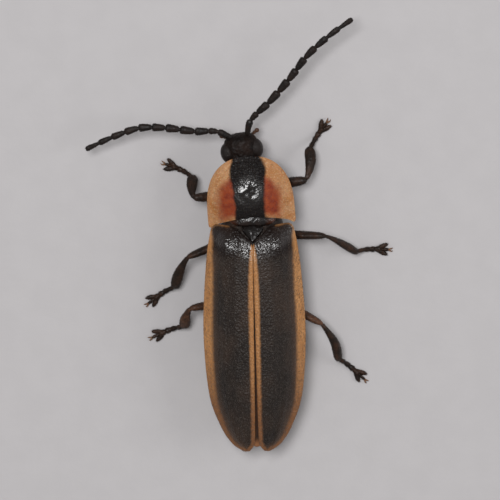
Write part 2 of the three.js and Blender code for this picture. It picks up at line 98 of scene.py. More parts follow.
# Neck shield.
PRONOTUM_HALF_WIDTH = 1.16
PRONOTUM_LENGTH = 1.86
PRONOTUM_HIND_REACH = 0.38
PRONOTUM_CORNER_Y = 0.1
PRONOTUM_CROWN = 0.46
PRONOTUM_SUMMIT_Y = -0.6
PRONOTUM_THICKNESS = 0.12
PRONOTUM_YAW = math.radians(3)
BAND_CENTRE = 0.02
DISC = (0.03, -1.02)
DISC_HALF_SIZE = (0.34, 0.36)
FRONT_SPOT = (0.2, -1.84)
FRONT_SPOT_HALF_SIZE = (0.12, 0.07)

# Plate between the neck shield and the wing covers.
MESONOTUM_HALF_WIDTH = 0.64

# Head.
HEAD_CENTRE = np.array([0.24, -1.99, 0.96])
HEAD_YAW = math.radians(8.5)
HEAD_HALF_WIDTH = 0.45
HEAD_HALF_HEIGHT = 0.27
HEAD_FRONT = 0.39
HEAD_BACK = 0.6
EYE_RADII = np.array([0.2, 0.27, 0.23])
EYE_SIDE = 0.37
EYE_BACK = 0.07
NECK_RADIUS = 0.22
NECK_PATH = ((0.24, -1.75, 0.95), (0.08, -1.2, 0.95))
JAW_PATH = ((0.13, -0.1, -0.2), (0.15, -0.22, -0.3), (0.04, -0.24, -0.36))
PALP_PATH = ((0.24, -0.19, -0.24), (0.4, -0.29, -0.31), (0.53, -0.35, -0.34))
# Start and end along the palp, and radius, of each joint.
PALP_JOINTS = ((0, 0.26, 0.045), (0.2, 0.48, 0.05), (0.42, 0.68, 0.05), (0.6, 1, 0.062))

# Trunk.
TRUNK_SIDE_HEIGHT = 0.98
PROTHORAX_BOTTOM = 0.64
PROTHORAX_SPAN = (-1.4, 0.0)
MESOTHORAX_SPAN = (-0.12, 0.7)
METATHORAX_SPAN = (0.56, 2.48)
SEGMENT_NODES = (
    "abdomen_segment_1",
    "abdomen_segment_2",
    "abdomen_segment_3",
    "abdomen_segment_4",
    "lantern_front",
    "lantern_rear",
    "abdomen_segment_7",
    "abdomen_tip",
)
SEGMENT_ENDS = (2.44, 2.94, 3.42, 3.9, 4.38, 4.9, 5.44, 5.82, 6.06)
SEGMENT_OVERLAP = 0.08

# Feelers: eleven joints each.
ANTENNA_JOINTS = (0.42, 0.24, 0.36, 0.39, 0.37, 0.35, 0.35, 0.38, 0.37, 0.38, 0.39)
ANTENNA_RADII = (0.085, 0.08, 0.1, 0.105, 0.105, 0.1, 0.1, 0.095, 0.088, 0.078, 0.066)
ANTENNA_LENGTHS = {"base": (0, 2), "middle": (2, 6), "end": (6, 11)}
ANTENNA_PATHS = {
    "left": (
        (0.47, -2.27, 0.98), (0.88, -2.47, 1.02), (1.47, -2.49, 1.02), (2.24, -2.6, 1.02),
        (2.92, -2.6, 0.97), (3.65, -2.34, 0.88), (4.36, -1.99, 0.75),
    ),
    "right": (
        (0.09, -2.34, 0.98), (-0.03, -2.77, 1.05), (-0.54, -3.28, 1.1), (-1.07, -3.9, 1.15),
        (-1.55, -4.53, 1.2), (-2.11, -5.04, 1.22), (-2.75, -5.5, 1.22),
    ),
}

# Legs.
COXA_RADIUS = 0.17
FEMUR_HALF_WIDTH = 0.108
TIBIA_HALF_WIDTH = 0.138
JOINT_OVERLAP = 0.07
TARSUS_HALF_WIDTH = 0.07
TARSUS_HEIGHT = 0.07
TARSUS_JOINTS = (0.27, 0.19, 0.15, 0.17, 0.22)
TARSUS_SWELL = (0.85, 0.95, 1.05, 1.15, 0.5)
LOBE_LENGTH = 0.36
LOBE_HALF_HEIGHT = 0.038
LOBE_SPREAD = math.radians(25)
CLAW_RADIUS = 0.03
CLAW_SPREAD = math.radians(33)
LEGS = {
    "leg_front_left": {
        "root": (0.18, -0.86, 0.86), "hip": (0.33, -0.62, 0.42), "knee": (1.54, -0.66, 1.0),
        "shin": (1.58, -0.88), "ankle": (1.54, -1.1, 0.36), "toe": (2.29, -1.36),
        "girth": 1.25, "flatness": 0.6,
    },
    "leg_middle_left": {
        "root": (0.28, 0.36, 0.85), "hip": (0.42, 0.58, 0.4), "knee": (1.75, 0.99, 0.95),
        "shin": (1.97, 1.48), "ankle": (2.11, 2.02, 0.32), "toe": (2.84, 2.51),
        "girth": 1.0, "flatness": 0.6,
    },
    "leg_hind_left": {
        "root": (0.34, 2.02, 0.85), "hip": (0.46, 2.32, 0.4), "knee": (1.72, 2.42, 0.92),
        "shin": (1.84, 2.78), "ankle": (1.87, 3.12, 0.32), "toe": (2.76, 3.46),
        "girth": 1.0, "flatness": 0.6,
    },
    "leg_front_right": {
        "root": (-0.18, -1.0, 0.86), "hip": (-0.33, -0.8, 0.42), "knee": (-1.47, -1.03, 0.8),
        "shin": (-1.58, -1.45), "ankle": (-1.56, -1.81, 0.34), "toe": (-2.05, -2.41),
        "girth": 1.3, "flatness": 0.6,
    },
    "leg_middle_right": {
        "root": (-0.28, 0.3, 0.85), "hip": (-0.42, 0.52, 0.4), "knee": (-1.96, 0.49, 0.92),
        "shin": (-2.38, 0.79), "ankle": (-2.79, 1.14, 0.32), "toe": (-3.64, 1.15),
        "girth": 1.0, "flatness": 1.5,
    },
    "leg_hind_right": {
        "root": (-0.34, 1.98, 0.85), "hip": (-0.46, 2.26, 0.4), "knee": (-1.82, 2.97, 0.8),
        "shin": (-2.14, 3.57), "ankle": (-2.24, 4.14, 0.32), "toe": (-2.94, 4.78),
        "girth": 1.0, "flatness": 1.2,
    },
}

# Coats of down: number of hairs, length, width, and how far they lift from the skin in radians.
WING_DOWN = (16000, 0.055, 0.0045, 0.3)
SHIELD_DOWN = (1500, 0.04, 0.0045, 0.4)
BREAST_DOWN = (5000, 0.06, 0.005, 0.3)
BELLY_DOWN = (3200, 0.06, 0.005, 0.3)
HEAD_DOWN = (2500, 0.04, 0.005, 0.4)
FEELER_DOWN = (260, 0.04, 0.005, 0.4)
THIGH_DOWN = (1300, 0.045, 0.005, 0.35)
SHIN_DOWN = (1500, 0.05, 0.0055, 0.4)
FOOT_DOWN = (260, 0.045, 0.005, 0.5)
TAILWARD = (0.0, 1.0, 0.0)
WING_LAY = (0.0, 1.0, -0.05)

# Colours, linear.
SHELL_BLACK = (0.015, 0.01, 0.008)
SHELL_BROWN = (0.042, 0.0245, 0.0165)
SHELL_GRAIN = (0.055, 0.042, 0.036)
SHELL_HALO = (0.12, 0.066, 0.04)
# Painted shade: the darker colour given to the steep front slopes of the shoulders, which turn away from
# the light.
SHOULDER_PAINTED_SHADE = (0.009, 0.005, 0.0045)
BORDER_TAN = (0.56, 0.27, 0.1)
BORDER_DEEP = (0.45, 0.2, 0.068)
BORDER_GRAIN = (0.6, 0.34, 0.15)
BORDER_SEAM = (0.4, 0.17, 0.06)
BORDER_TAIL = (0.21, 0.085, 0.033)
SHIELD_AMBER = (0.53, 0.275, 0.13)
AMBER_DEEP = (0.42, 0.17, 0.05)
AMBER_GRAIN = (0.7, 0.47, 0.27)
AMBER_MOTTLE = (0.36, 0.15, 0.05)
SHIELD_RED = (0.33, 0.065, 0.02)
RED_DEEP = (0.2, 0.028, 0.014)
SHIELD_BLACK = (0.009, 0.0065, 0.006)
LEG_BROWN = (0.17, 0.075, 0.038)
LEG_DARK = (0.06, 0.026, 0.014)
LEG_BLACK = (0.014, 0.0075, 0.005)
HORN_DARK = (0.0065, 0.0045, 0.004)
HORN_BROWN = (0.019, 0.0095, 0.0068)
PALP_BROWN = (0.075, 0.033, 0.018)
CLAW_PALE = (0.2, 0.125, 0.075)
EYE_BLACK = (0.007, 0.005, 0.0045)
LENS_RIM = (0.014, 0.008, 0.0065)
BELLY_BROWN = (0.05, 0.03, 0.021)
LANTERN_CREAM = (0.66, 0.56, 0.32)
LANTERN_DEEP = (0.5, 0.38, 0.18)
WING_DARK = (0.07, 0.03, 0.018)
WING_BROWN = (0.34, 0.15, 0.065)
PLATE_RUDDY = (0.07, 0.022, 0.011)
HAIR_PALE = (0.16, 0.135, 0.115)
HAIR_DARK = (0.03, 0.02, 0.015)
FLOOR_PALE = (0.59, 0.57, 0.58)


# Curves and skins, in millimetres from the body's origin.


def curve_through(knots, values):
    """A smooth curve through values at knots, read at any array of places."""
    knots = np.asarray(knots, float)
    values = np.asarray(values, float)
    before = np.maximum(np.arange(len(knots)) - 1, 0)
    after = np.minimum(np.arange(len(knots)) + 1, len(knots) - 1)
    wide = (slice(None),) + (None,) * (values.ndim - 1)
    slopes = (values[after] - values[before]) / (knots[after] - knots[before])[wide]

    def at(place):
        place = np.clip(np.asarray(place, float), knots[0], knots[-1])
        i = np.clip(np.searchsorted(knots, place, side="right") - 1, 0, len(knots) - 2)
        span = knots[i + 1] - knots[i]
        t = (place - knots[i]) / span
        if values.ndim > 1:
            t, span = t[..., None], span[..., None]
        bend = t * (1 - t) * span * (slopes[i] * (1 - t) - slopes[i + 1] * t)
        return values[i] + (values[i + 1] - values[i]) * t * t * (3 - 2 * t) + bend

    return at


def profile(*knots):
    """A smooth curve through (place, value) pairs."""
    return curve_through([k[0] for k in knots], [k[1] for k in knots])


def path_through(points):
    """A smooth path through points, read from 0 to 1 by length."""
    points = np.asarray(points, float)
    steps = np.linalg.norm(np.diff(points, axis=0), axis=1)
    knots = np.concatenate([[0], np.cumsum(steps)])
    return curve_through(knots / knots[-1], points)


def scaled(curve, size):
    """The curve with its values times size."""
    return lambda t: size * curve(t)


def steady(value):
    """A curve of one value."""
    return lambda t: value + 0 * t


def hill(x, y, centre, half_size):
    """A soft round hill, 1 at its centre."""
    return np.exp(-(((x - centre[0]) / half_size[0]) ** 2) - ((y - centre[1]) / half_size[1]) ** 2)


def signed_power(value, power):
    return np.sign(value) * np.abs(value) ** power


def blunt(t, power):
    """Full in the middle and rounded off at both ends of 0 to 1."""
    return np.sqrt(np.maximum(0, 1 - np.abs(2 * t - 1) ** power))


def stack(x, y, z):
    return np.stack(np.broadcast_arrays(x, y, z), axis=-1).astype(float)


def unit(vectors):
    return vectors / np.maximum(np.linalg.norm(vectors, axis=-1, keepdims=True), 1e-9)


class Skin:
    """A closed skin of rings between two poles; place(t, angle) gives its points."""

    def __init__(self, rows, around, place):
        t = np.linspace(0, 1, rows + 1)
        angles = np.linspace(0, 2 * np.pi, around, endpoint=False)
        grid_t, grid_angle = np.meshgrid(t[1:-1], angles, indexing="ij")
        self.around = around
        self.rings = place(grid_t, grid_angle)
        self.poles = place(np.array([t[0], t[-1]]), np.zeros(2))

    @property
    def points(self):
        return np.concatenate([self.rings.reshape(-1, 3), self.poles])

    @property
    def faces(self):
        rows, around = self.rings.shape[:2]
        first_pole = rows * around
        faces = []
        for j in range(around):
            k = (j + 1) % around
            faces.append((first_pole, k, j))
            for i in range(rows - 1):
                a, b = i * around, (i + 1) * around
                faces.append((a + j, a + k, b + k, b + j))
            last = (rows - 1) * around
            faces.append((first_pole + 1, last + j, last + k))
        return faces

    def moved(self, change):
        """The same skin with its points changed."""
        made = Skin.__new__(Skin)
        made.around = self.around
        made.rings = change(self.rings)
        made.poles = change(self.poles)
        return made

    def scatter(self, count, random):
        """Random places on the skin: points, outward normals, the way to the last pole, and an unwrap."""
        rings = self.rings
        ahead = np.roll(rings, -1, axis=1)
        a, b, c, d = rings[:-1], ahead[:-1], rings[1:], ahead[1:]
        across = np.cross(d - a, c - b)
        area = np.linalg.norm(across, axis=-1)
        chosen = random.choice(area.size, size=count, p=(area / area.sum()).ravel())
        i, j = np.unravel_index(chosen, area.shape)
        p, q = random.random((2, count, 1))
        lower = a[i, j] * (1 - p) + b[i, j] * p
        upper = c[i, j] * (1 - p) + d[i, j] * p
        points = lower * (1 - q) + upper * q
        normals = unit(across[i, j])
        middle = rings.reshape(-1, 3).mean(axis=0)
        outward = np.sum(unit(across) * (a - middle), axis=-1).mean()
        normals = normals if outward > 0 else -normals
        along = unit(upper - lower)
        unwrap = np.stack([(j + p[:, 0]) / self.around, (i + q[:, 0]) / len(rings)], axis=-1)
        return points, normals, along, unwrap


def turned(points, angle):
    """Points turned about the vertical axis."""
    c, s = math.cos(angle), math.sin(angle)
    return points @ np.array([[c, s, 0], [-s, c, 0], [0, 0, 1]])


def limb(points, half_width, half_height, rows=24, around=20, round_end=6, power=1.0, along=(0, 1)):
    """A round-ended limb along a path. Half-width is level and half-height is upright to the path."""
    path = path_through(points)

    def place(t, angle):
        u = along[0] + (along[1] - along[0]) * (1 - np.cos(np.pi * t)) / 2
        centre = path(u)
        tangent = unit(path(np.minimum(u + 0.01, 1)) - path(np.maximum(u - 0.01, 0)))
        side = unit(np.cross([0, 0, 1], tangent))
        lift = np.cross(tangent, side)
        share = (u - along[0]) / (along[1] - along[0])
        ends = blunt(share, round_end)
        wide = (half_width(share) * ends * signed_power(np.cos(angle), power))[..., None]
        high = (half_height(share) * ends * signed_power(np.sin(angle), power))[..., None]
        return centre + side * wide + lift * high

    return Skin(rows, around, place)


# Pieces.


def add_piece(name, skins, material, replaced=(), measures=None):
    """One object of one or more skins, which stands for the CAD nodes in replaced."""
    skins = skins if isinstance(skins, (list, tuple)) else [skins]
    points = []
    faces = []
    for skin in skins:
        first = sum(len(p) for p in points)
        faces += [tuple(first + v for v in face) for face in skin.faces]
        points.append(skin.points)
    points = np.concatenate(points)
    mesh = bpy.data.meshes.new(name)
    mesh.from_pydata((ORIGIN + points * MM).tolist(), [], faces)
    outward(mesh)
    mesh.shade_smooth()
    for label, values in (measures or {}).items():
        mesh.attributes.new(label, "FLOAT", "POINT").data.foreach_set("value", values.astype(np.float32))
    mesh.materials.append(material)
    return link(mesh, replaced)


def outward(mesh):
    """Turns every face of a closed mesh outward."""
    work = bmesh.new()
    work.from_mesh(mesh)
    bmesh.ops.recalc_face_normals(work, faces=work.faces)
    work.to_mesh(mesh)
    work.free()


def link(mesh, replaced=()):
    """Hangs a mesh on the one body, in place of the CAD nodes in replaced."""
    piece = bpy.data.objects.new(mesh.name, mesh)
    bpy.context.scene.collection.objects.link(piece)
    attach(piece, "root")
    if replaced:
        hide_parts(*replaced)
    return piece


# Each hair is a slim three-sided spike on a sunk root.
SPIKE_FACES = np.array([[0, 1, 3], [1, 2, 3], [2, 0, 3], [0, 2, 1]])
PATCH = 0.003
UNWRAP_START = 0.002
UNWRAP_SIZE = 0.994
HAIR_DISARRAY = 0.22
HAIR_LENGTHS = (0.6, 1.2)


def add_hairs(name, roots, directions, lengths, width, unwrap, material):
    """A coat of fine spikes, each with a small patch of its own on the skin's unwrap."""
    count = len(roots)
    side = unit(np.cross(directions, [0.31, 0.17, 0.93]))
    other = np.cross(directions, side)
    sunk = roots - directions * width
    corners = [
        sunk + width / 2 * (side * math.cos(turn) + other * math.sin(turn))
        for turn in (0, 2 * math.pi / 3, 4 * math.pi / 3)
    ]
    tips = roots + directions * lengths[:, None]
    points = np.stack([*corners, tips], axis=1).reshape(-1, 3)
    faces = (SPIKE_FACES[None] + 4 * np.arange(count)[:, None, None]).reshape(-1, 3)
    mesh = bpy.data.meshes.new(name)
    mesh.vertices.add(len(points))
    mesh.vertices.foreach_set("co", (ORIGIN + points * MM).ravel())
    mesh.loops.add(faces.size)
    mesh.loops.foreach_set("vertex_index", faces.ravel())
    mesh.polygons.add(len(faces))
    mesh.polygons.foreach_set("loop_start", np.arange(0, faces.size, 3))
    mesh.update(calc_edges=True)
    corner_shift = np.array([[0, 0], [PATCH, 0], [PATCH, PATCH], [0, PATCH]])
    place = UNWRAP_START + unwrap * UNWRAP_SIZE
    layer = mesh.uv_layers.new(name="OFBake")
    spread = (place[:, None, None] + corner_shift[SPIKE_FACES][None]).reshape(-1, 2)
    layer.data.foreach_set("uv", np.clip(spread, 0, 1).ravel())
    mesh.materials.append(material)
    return link(mesh)


def coat(name, skin, sizes, material, seed, lay=None, keep=None):
    """Fine hairs over a skin, lying along it towards its last pole or along lay."""
    count, length, width, lift = sizes
    random = np.random.default_rng(seed)
    points, normals, along, unwrap = skin.scatter(count, random)
    flow = along if lay is None else np.broadcast_to(np.asarray(lay, float), points.shape)
    flow = flow + random.normal(0, HAIR_DISARRAY, points.shape)
    flow = unit(flow - normals * np.sum(flow * normals, axis=-1, keepdims=True))
    directions = unit(flow * math.cos(lift) + normals * math.sin(lift))
    lengths = length * random.uniform(*HAIR_LENGTHS, count)
    if keep is not None:
        kept = keep(points, normals)
        points, directions, lengths, unwrap = points[kept], directions[kept], lengths[kept], unwrap[kept]
    return add_hairs(name, points, directions, lengths, width, unwrap, material)


def faces_up(points, normals):
    return normals[:, 2] > 0.1


def faces_down(points, normals):
    return normals[:, 2] < 0.1


# Materials.


class Shader:
    """A principled material, with short calls for the nodes that colour it."""

    def __init__(self, name, roughness=0.5, **inputs):
        self.material = bpy.data.materials.new(name)
        self.material.use_nodes = True
        self.nodes = self.material.node_tree.nodes
        self.links = self.material.node_tree.links
        self.surface = self.nodes["Principled BSDF"]
        self.set(Roughness=roughness, **inputs)

    def feed(self, node, inputs):
        """Links or sets a node's inputs, named with _ for each space."""
        for label, value in inputs.items():
            socket = node.inputs[label if isinstance(label, int) else label.replace("_", " ")]
            if isinstance(value, bpy.types.NodeSocket):
                self.links.new(value, socket)
            else:
                socket.default_value = value

    def set(self, **inputs):
        self.feed(self.surface, inputs)
        return self

    def node(self, kind, settings=None, **inputs):
        made = self.nodes.new("ShaderNode" + kind)
        for label, value in (settings or {}).items():
            setattr(made, label, value)
        self.feed(made, inputs)
        return made

    def place(self):
        """The place on the object, in millimetres."""
        where = self.node("TexCoord").outputs["Object"]
        scaled = self.node("VectorMath", {"operation": "SCALE"}, Vector=where, Scale=1 / MM)
        return scaled.outputs["Vector"]

    def noise(self, scale, detail=3.0, stretch=(1, 1, 1)):
        mapping = self.node("Mapping", Vector=self.place(), Scale=stretch)
        made = self.node("TexNoise", Vector=mapping.outputs["Vector"], Scale=scale, Detail=detail)
        return made.outputs["Fac"]

    def cells(self, scale):
        made = self.node("TexVoronoi", Vector=self.place(), Scale=scale)
        return made.outputs["Distance"]

    def measure(self, label):
        return self.node("Attribute", {"attribute_name": label}).outputs["Fac"]

    def step(self, value, start, end, low=0.0, high=1.0):
        """A soft step from low to high as value goes from start to end."""
        made = self.node(
            "MapRange",
            {"interpolation_type": "SMOOTHSTEP"},
            Value=value,
            From_Min=start,
            From_Max=end,
            To_Min=low,
            To_Max=high,
        )
        return made.outputs["Result"]

    def math(self, operation, a, b=0.0):
        made = self.node("Math", {"operation": operation})
        self.feed(made, {0: a, 1: b})
        return made.outputs[0]

    def times(self, a, b):
        return self.math("MULTIPLY", a, b)

    def swing(self, scale, detail):
        """Noise about zero."""
        return self.math("SUBTRACT", self.noise(scale, detail), 0.5)

    def mix(self, share, a, b):
        """Colour a where share is 0 and b where it is 1."""
        made = self.node("Mix", {"data_type": "RGBA"}, Factor=share)
        for place, colour in ((6, a), (7, b)):
            self.feed(made, {place: (*colour, 1) if isinstance(colour, tuple) else colour})
        return made.outputs[2]

    def bump(self, height, depth, normal=None):
        """Relief of the given depth in millimetres."""
        made = self.node("Bump", Height=height, Distance=depth * MM, Strength=1.0)
        if normal is not None:
            self.feed(made, {"Normal": normal})
        return made.outputs["Normal"]


def elytron_material():
    """Black-brown grained shell with tan borders, read from the distances to its edges."""
    s = Shader("wing_cover_shell")
    wander = s.times(s.swing(9.0, 4.0), 0.05)
    edge = s.math("ADD", s.measure("edge"), wander)
    seam = s.math("ADD", s.measure("seam"), wander)
    tan = s.math("MAXIMUM", s.step(edge, 0.065, -0.05), s.step(seam, 0.045, -0.03))
    gloss = s.measure("gloss")
    halo = s.times(s.step(edge, 0.2, 0.0, 0.0, 0.55), s.step(gloss, 0.3, 1.0, 1.0, 0.2))
    grain = s.noise(34.0, 4.0)
    patches = s.noise(1.6, 3.0, (1, 0.5, 1))
    dark = s.mix(s.step(patches, 0.35, 0.75), SHELL_BLACK, SHELL_BROWN)
    dark = s.mix(s.step(grain, 0.58, 0.8, 0, 0.5), dark, SHELL_GRAIN)
    # Painted shade: the shell darkens towards the front, where the steep shoulder slopes turn away from the
    # light.
    dark = s.mix(s.step(gloss, 0.0, 1.0, 0.0, 0.85), dark, SHOULDER_PAINTED_SHADE)
    dark = s.mix(halo, dark, SHELL_HALO)
    light = s.mix(s.step(s.noise(7.0, 4.0, (1, 0.3, 1)), 0.3, 0.75), BORDER_TAN, BORDER_DEEP)
    light = s.mix(s.step(grain, 0.5, 0.8, 0, 0.35), light, BORDER_GRAIN)
    light = s.mix(s.step(seam, 0.1, 0.0, 0.0, 0.25), light, BORDER_SEAM)
    light = s.mix(s.step(s.measure("tail"), 0.0, 1.0, 0.0, 0.85), light, BORDER_TAIL)
    colour = s.mix(tan, dark, light)
    relief = s.bump(s.noise(5.0, 3.0, (1, 0.35, 1)), 0.03)
    shine = s.times(s.measure("glint"), 0.34)
    granules = s.times(s.cells(17.0), s.step(shine, 0.0, 0.2, 1.0, 0.2))
    relief = s.bump(granules, 0.022, relief)
    pebbles = s.times(s.noise(20.0, 2.0), s.step(shine, 0.0, 0.3))
    relief = s.bump(pebbles, 0.018, relief)
    relief = s.bump(s.times(grain, s.step(gloss, 0.0, 1.0, 1.0, 0.3)), 0.008, relief)
    rough = s.math("SUBTRACT", s.step(s.noise(13.0, 2.0), 0.3, 0.7, 0.36, 0.5), shine)
    specular = s.times(s.step(shine, 0.0, 0.3, 0.33, 1.9), s.step(gloss, 0.0, 1.0, 1.0, 0.38))
    return s.set(Base_Color=colour, Roughness=rough, Normal=relief, Specular_IOR_Level=specular).material


def pronotum_material():
    """Amber shield with red patches beside a black middle band."""
    s = Shader("neck_shield_shell", Subsurface_Weight=0.25, Subsurface_Scale=0.12 * MM)
    s.surface.inputs["Subsurface Radius"].default_value = (1.0, 0.45, 0.2)
    wander = s.times(s.swing(4.0, 4.0), 0.16)
    band = s.math("ADD", s.measure("band"), wander)
    red = s.math("ADD", s.measure("red"), s.times(wander, 1.5))
    black_share = s.step(band, 0.05, -0.05)
    red_share = s.step(red, 0.15, -0.16)
    grain = s.noise(26.0, 4.0)
    amber = s.mix(s.step(s.noise(3.0, 4.0), 0.3, 0.75), SHIELD_AMBER, AMBER_DEEP)
    amber = s.mix(s.step(grain, 0.5, 0.7, 0, 0.6), amber, AMBER_GRAIN)
    amber = s.mix(s.step(s.noise(11.0, 3.0), 0.5, 0.7, 0, 0.25), amber, AMBER_MOTTLE)
    ruddy = s.mix(s.step(s.noise(6.0, 3.0), 0.3, 0.8), SHIELD_RED, RED_DEEP)
    colour = s.mix(red_share, amber, ruddy)
    colour = s.mix(black_share, colour, SHIELD_BLACK)
    gloss = s.times(s.measure("gloss"), black_share)
    wrinkles = s.times(s.swing(3.1, 1.0), gloss)
    relief = s.bump(wrinkles, 0.085)
    ripples = s.times(s.swing(9.0, 2.0), gloss)
    relief = s.bump(ripples, 0.007, relief)
    front = s.times(s.measure("front"), black_share)
    pits = s.math("SUBTRACT", s.cells(17.0), 0.4)
    punctures = s.times(pits, s.step(gloss, 0.1, 0.9, 1.0, 0.06))
    punctures = s.times(punctures, s.step(front, 0.0, 1.0, 1.0, 3.0))
    relief = s.bump(punctures, 0.012, relief)
    beads = s.step(s.cells(8.0), 0.0, 0.24, 1.0, 0.0)
    beads = s.times(beads, s.step(s.measure("margin"), 0.0, 1.0))
    relief = s.bump(beads, 0.018, relief)
    shine = s.math("MAXIMUM", gloss, s.times(front, 0.45))
    rough = s.times(s.step(shine, 0.0, 0.8, 0.58, 0.16), s.step(beads, 0.0, 0.5, 1.0, 0.35))
    sheen = s.math("MAXIMUM", s.step(gloss, 0.05, 0.5, 0.2, 0.5), s.step(beads, 0.0, 0.5, 0.0, 0.5))
    return s.set(Base_Color=colour, Roughness=rough, Normal=relief, Specular_IOR_Level=sheen).material


def cuticle(name, dark, light, roughness=0.42, grain_scale=20.0, depth=0.01, gloss=0.3):
    """Dark horny skin: two tones in patches, fine grain and uneven gloss."""
    s = Shader(name, Specular_IOR_Level=gloss)
    grain = s.noise(grain_scale, 4.0)
    colour = s.mix(s.step(s.noise(4.0, 4.0), 0.35, 0.75), dark, light)
    colour = s.mix(s.step(grain, 0.6, 0.85, 0, 0.35), colour, tuple(2.2 * c for c in light))
    relief = s.bump(s.cells(grain_scale * 0.8), depth)
    relief = s.bump(grain, depth * 0.6, relief)
    rough = s.step(s.noise(grain_scale * 0.5, 2.0), 0.3, 0.7, roughness - 0.08, roughness + 0.1)
    return s.set(Base_Color=colour, Roughness=rough, Normal=relief).material


def plate_material():
    """Glossy black plate, ruddy towards its sides."""
    s = Shader("back_plate_shell", Specular_IOR_Level=0.5)
    colour = s.mix(s.step(s.noise(4.0, 4.0), 0.35, 0.75), HORN_DARK, HORN_BROWN)
    colour = s.mix(s.step(s.measure("side"), 0.3, 0.58), colour, PLATE_RUDDY)
    relief = s.bump(s.noise(9.0, 3.0), 0.03)
    rough = s.step(s.noise(5.0, 2.0), 0.3, 0.7, 0.16, 0.3)
    return s.set(Base_Color=colour, Roughness=rough, Normal=relief).material


def wing_material():
    """Smoky membrane of the hind wings, browner at the tip."""
    s = Shader("wing_membrane", roughness=0.5, Specular_IOR_Level=0.2)
    colour = s.mix(s.step(s.noise(5.0, 3.0), 0.3, 0.7), WING_DARK, SHELL_BROWN)
    colour = s.mix(s.measure("tail"), colour, WING_BROWN)
    return s.set(Base_Color=colour, Normal=s.bump(s.noise(12.0, 3.0), 0.02)).material


def eye_material():
    """Black eye of tiny lenses."""
    s = Shader("eye_lenses", Coat_Weight=0.05, Coat_Roughness=0.3, Specular_IOR_Level=0.25)
    lenses = s.cells(38.0)
    colour = s.mix(s.step(lenses, 0.1, 0.7), EYE_BLACK, LENS_RIM)
    relief = s.bump(s.times(lenses, -1.0), 0.012)
    rough = s.step(s.noise(10.0), 0.3, 0.7, 0.34, 0.48)
    return s.set(Base_Color=colour, Roughness=rough, Normal=relief).material


def lantern_material():
    """Waxy cream light organ."""
    s = Shader("lantern_wax", Subsurface_Weight=0.5, Subsurface_Scale=0.25 * MM)
    s.surface.inputs["Subsurface Radius"].default_value = (1.0, 0.8, 0.4)
    mottle = s.noise(5.0, 5.0)
    colour = s.mix(s.step(mottle, 0.3, 0.75), LANTERN_CREAM, LANTERN_DEEP)
    height = s.node("SeparateXYZ", Vector=s.place()).outputs["Z"]
    colour = s.mix(s.step(height, 0.96, 1.04), colour, BELLY_BROWN)
    relief = s.bump(s.noise(22.0, 3.0), 0.008)
    rough = s.step(s.noise(12.0), 0.3, 0.7, 0.3, 0.5)
    return s.set(Base_Color=colour, Roughness=rough, Normal=relief).material


def hair_material(name, colour):
    s = Shader(name, roughness=0.5, Specular_IOR_Level=0.2)
    pale = tuple(1.5 * c for c in colour)
    deep = tuple(0.6 * c for c in colour)
    tone = s.step(s.noise(12.0, 2.0), 0.3, 0.7)
    return s.set(Base_Color=s.mix(tone, deep, pale)).material


def floor_material():
    s = Shader("pale_floor", roughness=0.7)
    colour = s.mix(s.step(s.noise(1.3, 5.0), 0.3, 0.7), FLOOR_PALE, tuple(0.97 * c for c in FLOOR_PALE))
    relief = s.bump(s.noise(6.0, 5.0), 0.004)
    return s.set(Base_Color=colour, Normal=relief).material


# Wing covers.

ridge_height = profile(
    (-0.1, 1.6), (0.5, 1.88), (1.5, 2.0), (3.2, 1.97), (4.8, 1.8), (5.8, 1.58), (6.4, 1.34)
)
edge_height = profile((0, 1.38), (1.5, 1.34), (4, 1.3), (6.4, 1.18))
outer_width = profile(
    (0, 0.98), (0.3, 1.14), (1.3, 1.27), (3, ELYTRON_HALF_WIDTH),
    (4.7, 1.25), (5.62, 0.97), (6.13, 0.7), (6.4, 0.62),
)
# Widths of the tan borders along the outer edge and along the seam, from front to back.
border_width = profile(
    (0, -0.01), (0.12, 0.01), (0.3, 0.07), (0.6, 0.11), (1.3, 0.19),
    (2.5, 0.23), (4, 0.21), (5.5, 0.14), (6, 0.1),
)
seam_width = profile((0.42, 0.02), (0.6, 0.06), (1, 0.1), (1.8, 0.125), (3.3, 0.11), (5, 0.1), (6.4, 0.095))
OUTER_EDGE = (
    (0.62, -0.02), (1.01, 0.0), (1.14, 0.3), (1.27, 1.3), (ELYTRON_HALF_WIDTH, 3.0),
    (1.25, 4.7), (0.97, 5.62), (0.67, 6.13), (0.34, ELYTRON_LENGTH),
)
INNER_EDGE = (
    (0.42, 0.04), (0.24, 0.2), (0.02, 0.42), (0.004, 1.0), (0.02, 3.0),
    (0.03, 4.8), (0.04, 5.65), (0.065, 6.08), (0.2, ELYTRON_LENGTH - 0.02),
)
outer_edge = curve_through(np.linspace(0, 1, 9), OUTER_EDGE)
inner_edge = curve_through(np.linspace(0, 1, 9), INNER_EDGE)


def crown(x, y):
    """Height of the wing covers' upper face."""
    share = np.minimum(np.abs(x) / outer_width(y), 1)
    disc = 0.74 * np.minimum(share / BORDER_START, 1) ** 2.4
    border = 0.26 * np.maximum(share - BORDER_START, 0) / (1 - BORDER_START)
    shoulder = hill(np.abs(x), y, SHOULDER, SHOULDER_HALF_SIZE)
    return ridge_height(y) - (ridge_height(y) - edge_height(y)) * (disc + border) + SHOULDER_RISE * shoulder


def ribs(share):
    """The raised seam edge and two faint ribs along the disc."""
    return RIDGE_RELIEF * sum(np.exp(-(((share - centre) / 0.05) ** 2)) for centre in RIB_SHARES)


